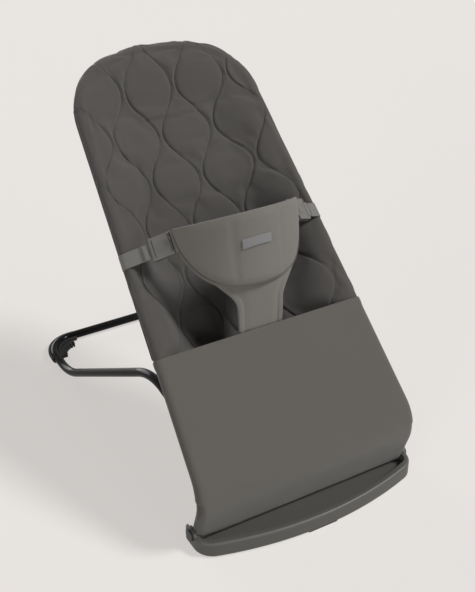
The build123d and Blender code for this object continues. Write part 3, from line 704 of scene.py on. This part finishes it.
def panel_point(u, v):
    way = v * PANEL_LENGTH
    s, n, turn = panel_spot(way)
    half = rail_half(max(s, -0.04)) if s > AXLE_S * 0.5 else RAIL_NOSE
    tuck = radians(205) - radians(150) * smooth(0.20, 0.30, way)
    girth = half + WRAP_R * tuck
    across = abs(u) * girth
    hem = 0.0010 * (1 - smooth(0.011, 0.014, way))
    if across < half:
        share = across / half
        dip = 0.0022 * (1 - share ** 2) * smooth(0.0, 0.05, way) * (1 - smooth(0.18, 0.24, way))
        x, out = across, WRAP_R - dip + hem
    else:
        angle = (across - half) / WRAP_R
        x, out = half + (WRAP_R + hem) * sin(angle), (WRAP_R + hem) * cos(angle)
    side = 1 if u >= 0 else -1
    return on_seat(side * x, s - out * sin(turn), n + out * cos(turn))


def lower_cover():
    widest = RAIL_NOSE + WRAP_R * radians(205)
    piece, spots = cloth_grid("lower_cover", 128, 112, panel_point,
                              lambda u, v: (u * widest, v * PANEL_LENGTH))
    finish_with(piece, "SOLIDIFY", thickness=0.0014, offset=1)
    finish_with(piece, "SUBSURF", levels=1, render_levels=1)
    shade(piece, 60)
    return dress(piece, "plain_fabric", stands_for=["lower_panel"])


lower_cover()


def pocket_lining():
    low = (0.1038, -0.052)
    high = (0.038, 0.0065)

    def place(u, v):
        s = high[0] + (low[0] - high[0]) * v
        n = high[1] + (low[1] - high[1]) * v - 0.004 * sin(pi * v) * (1 - u * u)
        return on_seat(POCKET_HALF * u, s, n)

    piece, spots = cloth_grid("pocket_lining", 40, 16, place, lambda u, v: (POCKET_HALF * u, 0.088 * v))
    finish_with(piece, "SOLIDIFY", thickness=0.002, offset=-1)
    shade(piece)
    return dress(piece, "plain_fabric", stands_for=["pocket_gusset"])


pocket_lining()

# The restraint: a half-moon bib over a flared crotch strap

MIDDLE_S = np.polyfit([row[0] for row in BIB_MIDDLE], [row[1] for row in BIB_MIDDLE], 2)
MIDDLE_N = np.polyfit([row[0] for row in BIB_MIDDLE], [row[2] for row in BIB_MIDDLE], 2)
BIB_FOOT = 0.04


def bib_point(x, v, lift=0.0):
    """A point of the bib's arched middle layer, v up it, lifted off it."""
    lean = 0.316 - 0.635 * v
    fall = sqrt(1 - lean * lean)
    drop = BIB_BEND * x * x
    s = float(np.polyval(MIDDLE_S, v)) - lean * drop
    n = float(np.polyval(MIDDLE_N, v)) - fall * drop
    slope = 2 * BIB_BEND * x
    size = sqrt(1 + slope * slope)
    out = 0.62
    return on_seat(x + lift * slope / size * 0.85, s - lift * out / size * 0.55, n + lift / size)


def bib_low(x, grown=0.0):
    """How far up the bib its rounded lower edge lies, x from the middle."""
    fullness = max(0.0, 1 - (x / (BIB_HALF + grown)) ** 2) ** 0.64
    return 1 - (1 + BIB_FOOT + grown / 0.12) * fullness


def half_moon_bib():
    def spot(u, v):
        x = BIB_HALF * sin(u * pi / 2)
        low = bib_low(x)
        return x, low + (1 - low) * v

    def place(u, v):
        return bib_point(*spot(u, v))

    piece, spots = cloth_grid("half_moon_bib", 72, 40, place,
                              lambda u, v: (spot(u, v)[0], spot(u, v)[1] * BIB_HEIGHT))
    top = len(spots)
    normals = [vertex.normal.copy() for vertex in piece.data.vertices]
    finish_with(piece, "SOLIDIFY", thickness=0.0025, offset=-1)
    held = []
    for index, (u, v) in enumerate(spots):
        x, way = spot(u, v)
        rim = min(v, 1 - v) * (1 - bib_low(x)) * BIB_HEIGHT
        crown = sqrt(smooth(0, 0.016, rim))
        seam = 1 - 0.8 * exp(-((abs(x) - 0.041) / 0.0026) ** 2)
        puff = 0.0030 * crown * seam
        piece.data.vertices[index].co += normals[index] * (puff + 0.0008)
        piece.data.vertices[index + top].co -= normals[index] * puff * 0.6
        if rim < 0.002:
            held += [index, index + top]
    puff_up(piece, held, 1.5, 0.003)
    finish_with(piece, "SUBSURF", levels=1, render_levels=1)
    tidy_mesh(piece)
    shade(piece, 80)
    return dress(piece, "bib_fabric", stands_for=["bib"])


half_moon_bib()


def bib_rim(lift, inset=0.0):
    line = []
    for k in range(121):
        x = (BIB_HALF - inset) * sin((k / 60 - 1) * pi / 2)
        line.append(bib_point(x, bib_low(x, -inset), lift))
    return line


def bib_piping():
    line = even_points(bib_rim(0.0), 0.004)
    piece = sewn_tube("bib_piping", line, Vector((0, 0, 1)), lambda angle, way: 0.0022, 12)
    return dress(piece, "bib_fabric", finish=PIPING)


bib_piping()


def bib_backing():
    """The layer behind the bib, a little larger, that the crotch strap runs into."""
    grown = 0.005

    def spot(u, v):
        x = (BIB_HALF + grown) * sin(u * pi / 2)
        low = bib_low(x, grown)
        return x, low + (0.985 - low) * v

    piece, spots = cloth_grid("bib_backing", 64, 32, lambda u, v: bib_point(*spot(u, v), -0.0062),
                              lambda u, v: (spot(u, v)[0], spot(u, v)[1] * BIB_HEIGHT))
    finish_with(piece, "SOLIDIFY", thickness=0.0022, offset=-1)
    tidy_mesh(piece)
    shade(piece, 60)
    return dress(piece, "bib_fabric")


bib_backing()

CROTCH_WAY = (0.0, 0.35, 0.70, 1.0)
CROTCH_S = np.polyfit(CROTCH_WAY, (0.186, 0.213, 0.246, 0.281), 3)
CROTCH_N = np.polyfit(CROTCH_WAY, (0.003, 0.032, 0.066, 0.094), 3)


def crotch_half(v):
    return 0.040 + 0.004 * v + 0.045 * smooth(0.45, 1.25, v)


def crotch_spot(u, v):
    x = crotch_half(v) * u
    bend = BIB_BEND * smooth(0.05, 0.8, v)
    lean = 0.50 - 0.30 * v
    drop = bend * x * x
    s = float(np.polyval(CROTCH_S, v)) - lean * drop
    return x, s, float(np.polyval(CROTCH_N, v)) - sqrt(1 - lean * lean) * drop


def flared_crotch_strap():
    piece, spots = cloth_grid("flared_crotch_strap", 48, 48, lambda u, v: on_seat(*crotch_spot(u, v)),
                              lambda u, v: (crotch_half(v) * u, 0.14 * v))
    top = len(spots)
    normals = [vertex.normal.copy() for vertex in piece.data.vertices]
    finish_with(piece, "SOLIDIFY", thickness=0.003, offset=-1)
    for index, (u, v) in enumerate(spots):
        rim = (1 - abs(u)) * crotch_half(v)
        band = 0.0012 * (1 - smooth(0.0085, 0.0100, rim))
        groove = 0.0008 * max(0.0, 1 - ((rim - 0.0095) / 0.0018) ** 2)
        crown = 0.0012 * smooth(0.010, 0.022, rim)
        piece.data.vertices[index].co += normals[index] * (band + crown - groove)
        piece.data.vertices[index + top].co -= normals[index] * (band + crown) * 0.5
    finish_with(piece, "SUBSURF", levels=1, render_levels=1)
    shade(piece, 80)
    return dress(piece, "bib_fabric", stands_for=["crotch_strap"])


flared_crotch_strap()


def bare_label():
    width, height = 0.047, 0.017

    def place(u, v):
        return bib_point(width / 2 * u - 0.006, 0.50 + 0.13 * v, 0.0049)

    piece, spots = cloth_grid("bare_label", 16, 8, place, lambda u, v: (width / 2 * u, height * v))
    finish_with(piece, "SOLIDIFY", thickness=0.0008, offset=1)
    shade(piece)
    return dress(piece, "label", stands_for=["bib_label"])


bare_label()

# Webbing straps

RAIL_ACROSS = Vector((1, RAIL_TAPER, 0)).normalized()
STRAP_R = SLEEVE_R + 0.0002 + 0.0011


def strap_spot(way, off):
    """The strap's side view: round the rail, then straight to the buckle; off is square to the strap."""
    wrap = STRAP_R * (STRAP_LEAVE + radians(100))
    if way < wrap:
        angle = way / STRAP_R - radians(100)
        ahead = 0.0
    else:
        angle = STRAP_LEAVE
        ahead = way - wrap
    along = -sin(angle) * ahead + (STRAP_R + off) * cos(angle)
    return along, cos(angle) * ahead + (STRAP_R + off) * sin(angle)


def webbing_strap(side, name):
    length = STRAP_R * (STRAP_LEAVE + radians(100)) + STRAP_FREE

    def place(u, v):
        along, n = strap_spot(v * length, 0.0)
        base = RAIL_ACROSS * along
        across = STRAP_WIDTH / 2 * u
        x = rail_half(STRAP_S) + base.x + RAIL_ACROSS.y * across
        return on_seat(side * x, STRAP_S + base.y - RAIL_ACROSS.x * across, n)

    piece, spots = cloth_grid("webbing_strap_" + name, 16, 40, place,
                              lambda u, v: (STRAP_WIDTH / 2 * u, length * v))
    finish_with(piece, "SOLIDIFY", thickness=0.0022, offset=0)
    finish_with(piece, "BEVEL", width=0.0005, segments=2, limit_method="ANGLE")
    tidy_mesh(piece)
    shade(piece)
    return dress(piece, "webbing", stands_for=["strap_" + name])


BUCKLE_ROOT = Vector((rail_half(STRAP_S), STRAP_S, 0)) + RAIL_ACROSS * (STRAP_R * cos(STRAP_LEAVE))
BUCKLE_ROOT += Vector((0, 0, STRAP_R * sin(STRAP_LEAVE)))
STRAP_WAY = Vector((0, 0, cos(STRAP_LEAVE))) - RAIL_ACROSS * sin(STRAP_LEAVE)
STRAP_OUT = Vector((0, 0, sin(STRAP_LEAVE))) + RAIL_ACROSS * cos(STRAP_LEAVE)
STRAP_ACROSS = STRAP_OUT.cross(STRAP_WAY)


def on_strap(side, along, across, out):
    """A point of a strap or its buckle: along the strap, across it and out of its face."""
    spot = BUCKLE_ROOT + STRAP_WAY * along + STRAP_ACROSS * across + STRAP_OUT * out
    return on_seat(side * spot.x, spot.y, spot.z)


def strap_fold(side, name):
    """The strap's end, folded back over itself and sewn down."""
    start = STRAP_FREE - 0.020

    def place(u, v):
        curl = 0.0011 * smooth(0.0, 0.12, v)
        return on_strap(side, start + 0.0195 * v, FOLD_HALF * u, 0.0014 + curl)

    piece, spots = cloth_grid("strap_fold_" + name, 16, 14, place, lambda u, v: (FOLD_HALF * u, 0.0195 * v))
    finish_with(piece, "SOLIDIFY", thickness=0.0014, offset=0)
    tidy_mesh(piece)
    shade(piece)
    dress(piece, "webbing", body="buckle_block_" + name)
    for row, along in enumerate((start + 0.0025, start + 0.0120)):
        line = [on_strap(side, along, 0.9 * FOLD_HALF * (k / 8 - 1), 0.0034) for k in range(17)]
        up = on_strap(side, along, 0, 1) - on_strap(side, along, 0, 0)
        seam = stitch_row(f"strap_seam_{row}_{name}", line, lambda k: up, 0.0034, 0.0026, 0.0008)
        dress(seam, "webbing", body="buckle_block_" + name, finish=THREAD)


def buckle_ring(side, name):
    """The plain raised ring on the buckle's face."""
    bpy.ops.object.select_all(action="DESELECT")
    bpy.ops.mesh.primitive_cylinder_add(vertices=48, radius=0.0088, depth=0.0006)
    piece = bpy.context.active_object
    piece.name = "buckle_ring_" + name
    bpy.ops.object.mode_set(mode="EDIT")
    bpy.ops.mesh.select_all(action="DESELECT")
    bpy.ops.mesh.select_mode(type="FACE")
    bpy.ops.object.mode_set(mode="OBJECT")
    for face in piece.data.polygons:
        face.select = face.normal.z > 0.9
    bpy.ops.object.mode_set(mode="EDIT")
    bpy.ops.mesh.inset(thickness=0.0011, depth=0)
    bpy.ops.mesh.inset(thickness=0.0003, depth=-0.00045)
    bpy.ops.mesh.select_all(action="SELECT")
    bpy.ops.mesh.bevel(offset=0.00012, segments=2)
    bpy.ops.object.mode_set(mode="OBJECT")
    middle = BUCKLE_START + BUCKLE_LENGTH * 0.56
    for vertex in piece.data.vertices:
        vertex.co = on_strap(side, middle + vertex.co.x, vertex.co.y, BUCKLE_THICK / 2 + vertex.co.z + 0.0002)
    tidy_mesh(piece, 0.000001)
    shade(piece, 35)
    return dress(piece, "buckle_plastic", body="buckle_block_" + name)


def buckle_slit_painted_shade(side, name, row, along):
    """A dark slot let into the buckle's face: a black bar whose black is painted shade for the inside of the
    slot.
    """
    bpy.ops.object.select_all(action="DESELECT")
    bpy.ops.mesh.primitive_cube_add(size=1)
    piece = bpy.context.active_object
    piece.name = f"buckle_slit_{row}_{name}"
    for vertex in piece.data.vertices:
        vertex.co = Vector((vertex.co.x * 0.0020, vertex.co.y * 0.0300, vertex.co.z * 0.0020))
    finish_with(piece, "BEVEL", width=0.0004, segments=3)
    for vertex in piece.data.vertices:
        vertex.co = on_strap(side, BUCKLE_START + along + vertex.co.x, vertex.co.y,
                             BUCKLE_THICK / 2 - 0.0008 + vertex.co.z)
    tidy_mesh(piece, 0.000001)
    shade(piece, 40)
    # The black finish here is painted shade for the slot's inside.
    return dress(piece, "buckle_plastic", body="buckle_block_" + name, finish=FINISHES["black_plastic"])


for side, name in ((1, "right"), (-1, "left")):
    webbing_strap(side, name)
    strap_fold(side, name)
    buckle_ring(side, name)
    buckle_slit_painted_shade(side, name, 0, 0.0055)
    buckle_slit_painted_shade(side, name, 1, 0.0335)

# Floor, light and camera

def seen_directly(tree):
    """One where the camera sees a surface itself or mirrored, nought where the surface only gives light."""
    path = tree.nodes.new("ShaderNodeLightPath")
    direct = math_node(tree, "MAXIMUM", path.outputs["Is Camera Ray"], path.outputs["Is Glossy Ray"])
    return math_node(tree, "MAXIMUM", direct, path.outputs["Is Transmission Ray"])


def studio():
    bpy.ops.object.select_all(action="DESELECT")
    bpy.ops.mesh.primitive_grid_add(x_subdivisions=8, y_subdivisions=8, size=16)
    floor = bpy.context.active_object
    floor.name = "studio_floor"
    paper = bpy.data.materials.new("pale_paper")
    paper.use_nodes = True
    shader = paper.node_tree.nodes["Principled BSDF"]
    shader.inputs["Base Color"].default_value = (0.310, 0.298, 0.289, 1)
    shader.inputs["Roughness"].default_value = 0.9
    shader.inputs["Specular IOR Level"].default_value = 0.1
    shader.inputs["Emission Color"].default_value = (0.538, 0.518, 0.501, 1)
    paper.node_tree.links.new(seen_directly(paper.node_tree), shader.inputs["Emission Strength"])
    floor.data.materials.append(paper)
    world = bpy.data.worlds.new("soft_room")
    world.use_nodes = True
    room = world.node_tree.nodes["Background"]
    room.inputs["Color"].default_value = (1.0, 0.962, 0.932, 1)
    pale = math_node(world.node_tree, "MULTIPLY", seen_directly(world.node_tree), 0.68)
    world.node_tree.links.new(math_node(world.node_tree, "ADD", pale, 0.07), room.inputs["Strength"])
    bpy.context.scene.world = world
    for name, aim, wide, power in (
        ("wide_key", (-0.55, 0.36, -0.75), 15, 2.55),
        ("front_fill", (-0.25, 0.95, -0.17), 30, 0.55),
        ("side_fill", (0.85, 0.49, -0.16), 24, 1.1),
        ("back_fill", (0.20, -0.98, -0.09), 40, 1.5),
    ):
        lamp = bpy.data.lights.new(name, "SUN")
        lamp.angle = radians(wide)
        lamp.energy = power
        holder = bpy.data.objects.new(name, lamp)
        holder.rotation_euler = Vector(aim).to_track_quat("-Z", "Y").to_euler()
        bpy.context.scene.collection.objects.link(holder)
    eye = bpy.data.cameras.new("photo_view")
    eye.lens = 63.85
    camera = bpy.data.objects.new("photo_view", eye)
    camera.location = (-0.7345, -1.361, 1.2068)
    camera.rotation_euler = (radians(90 - 31.865), 0, radians(-29.715))
    bpy.context.scene.collection.objects.link(camera)
    bpy.context.scene.camera = camera
    bpy.context.scene.view_settings.view_transform = "Standard"


studio()
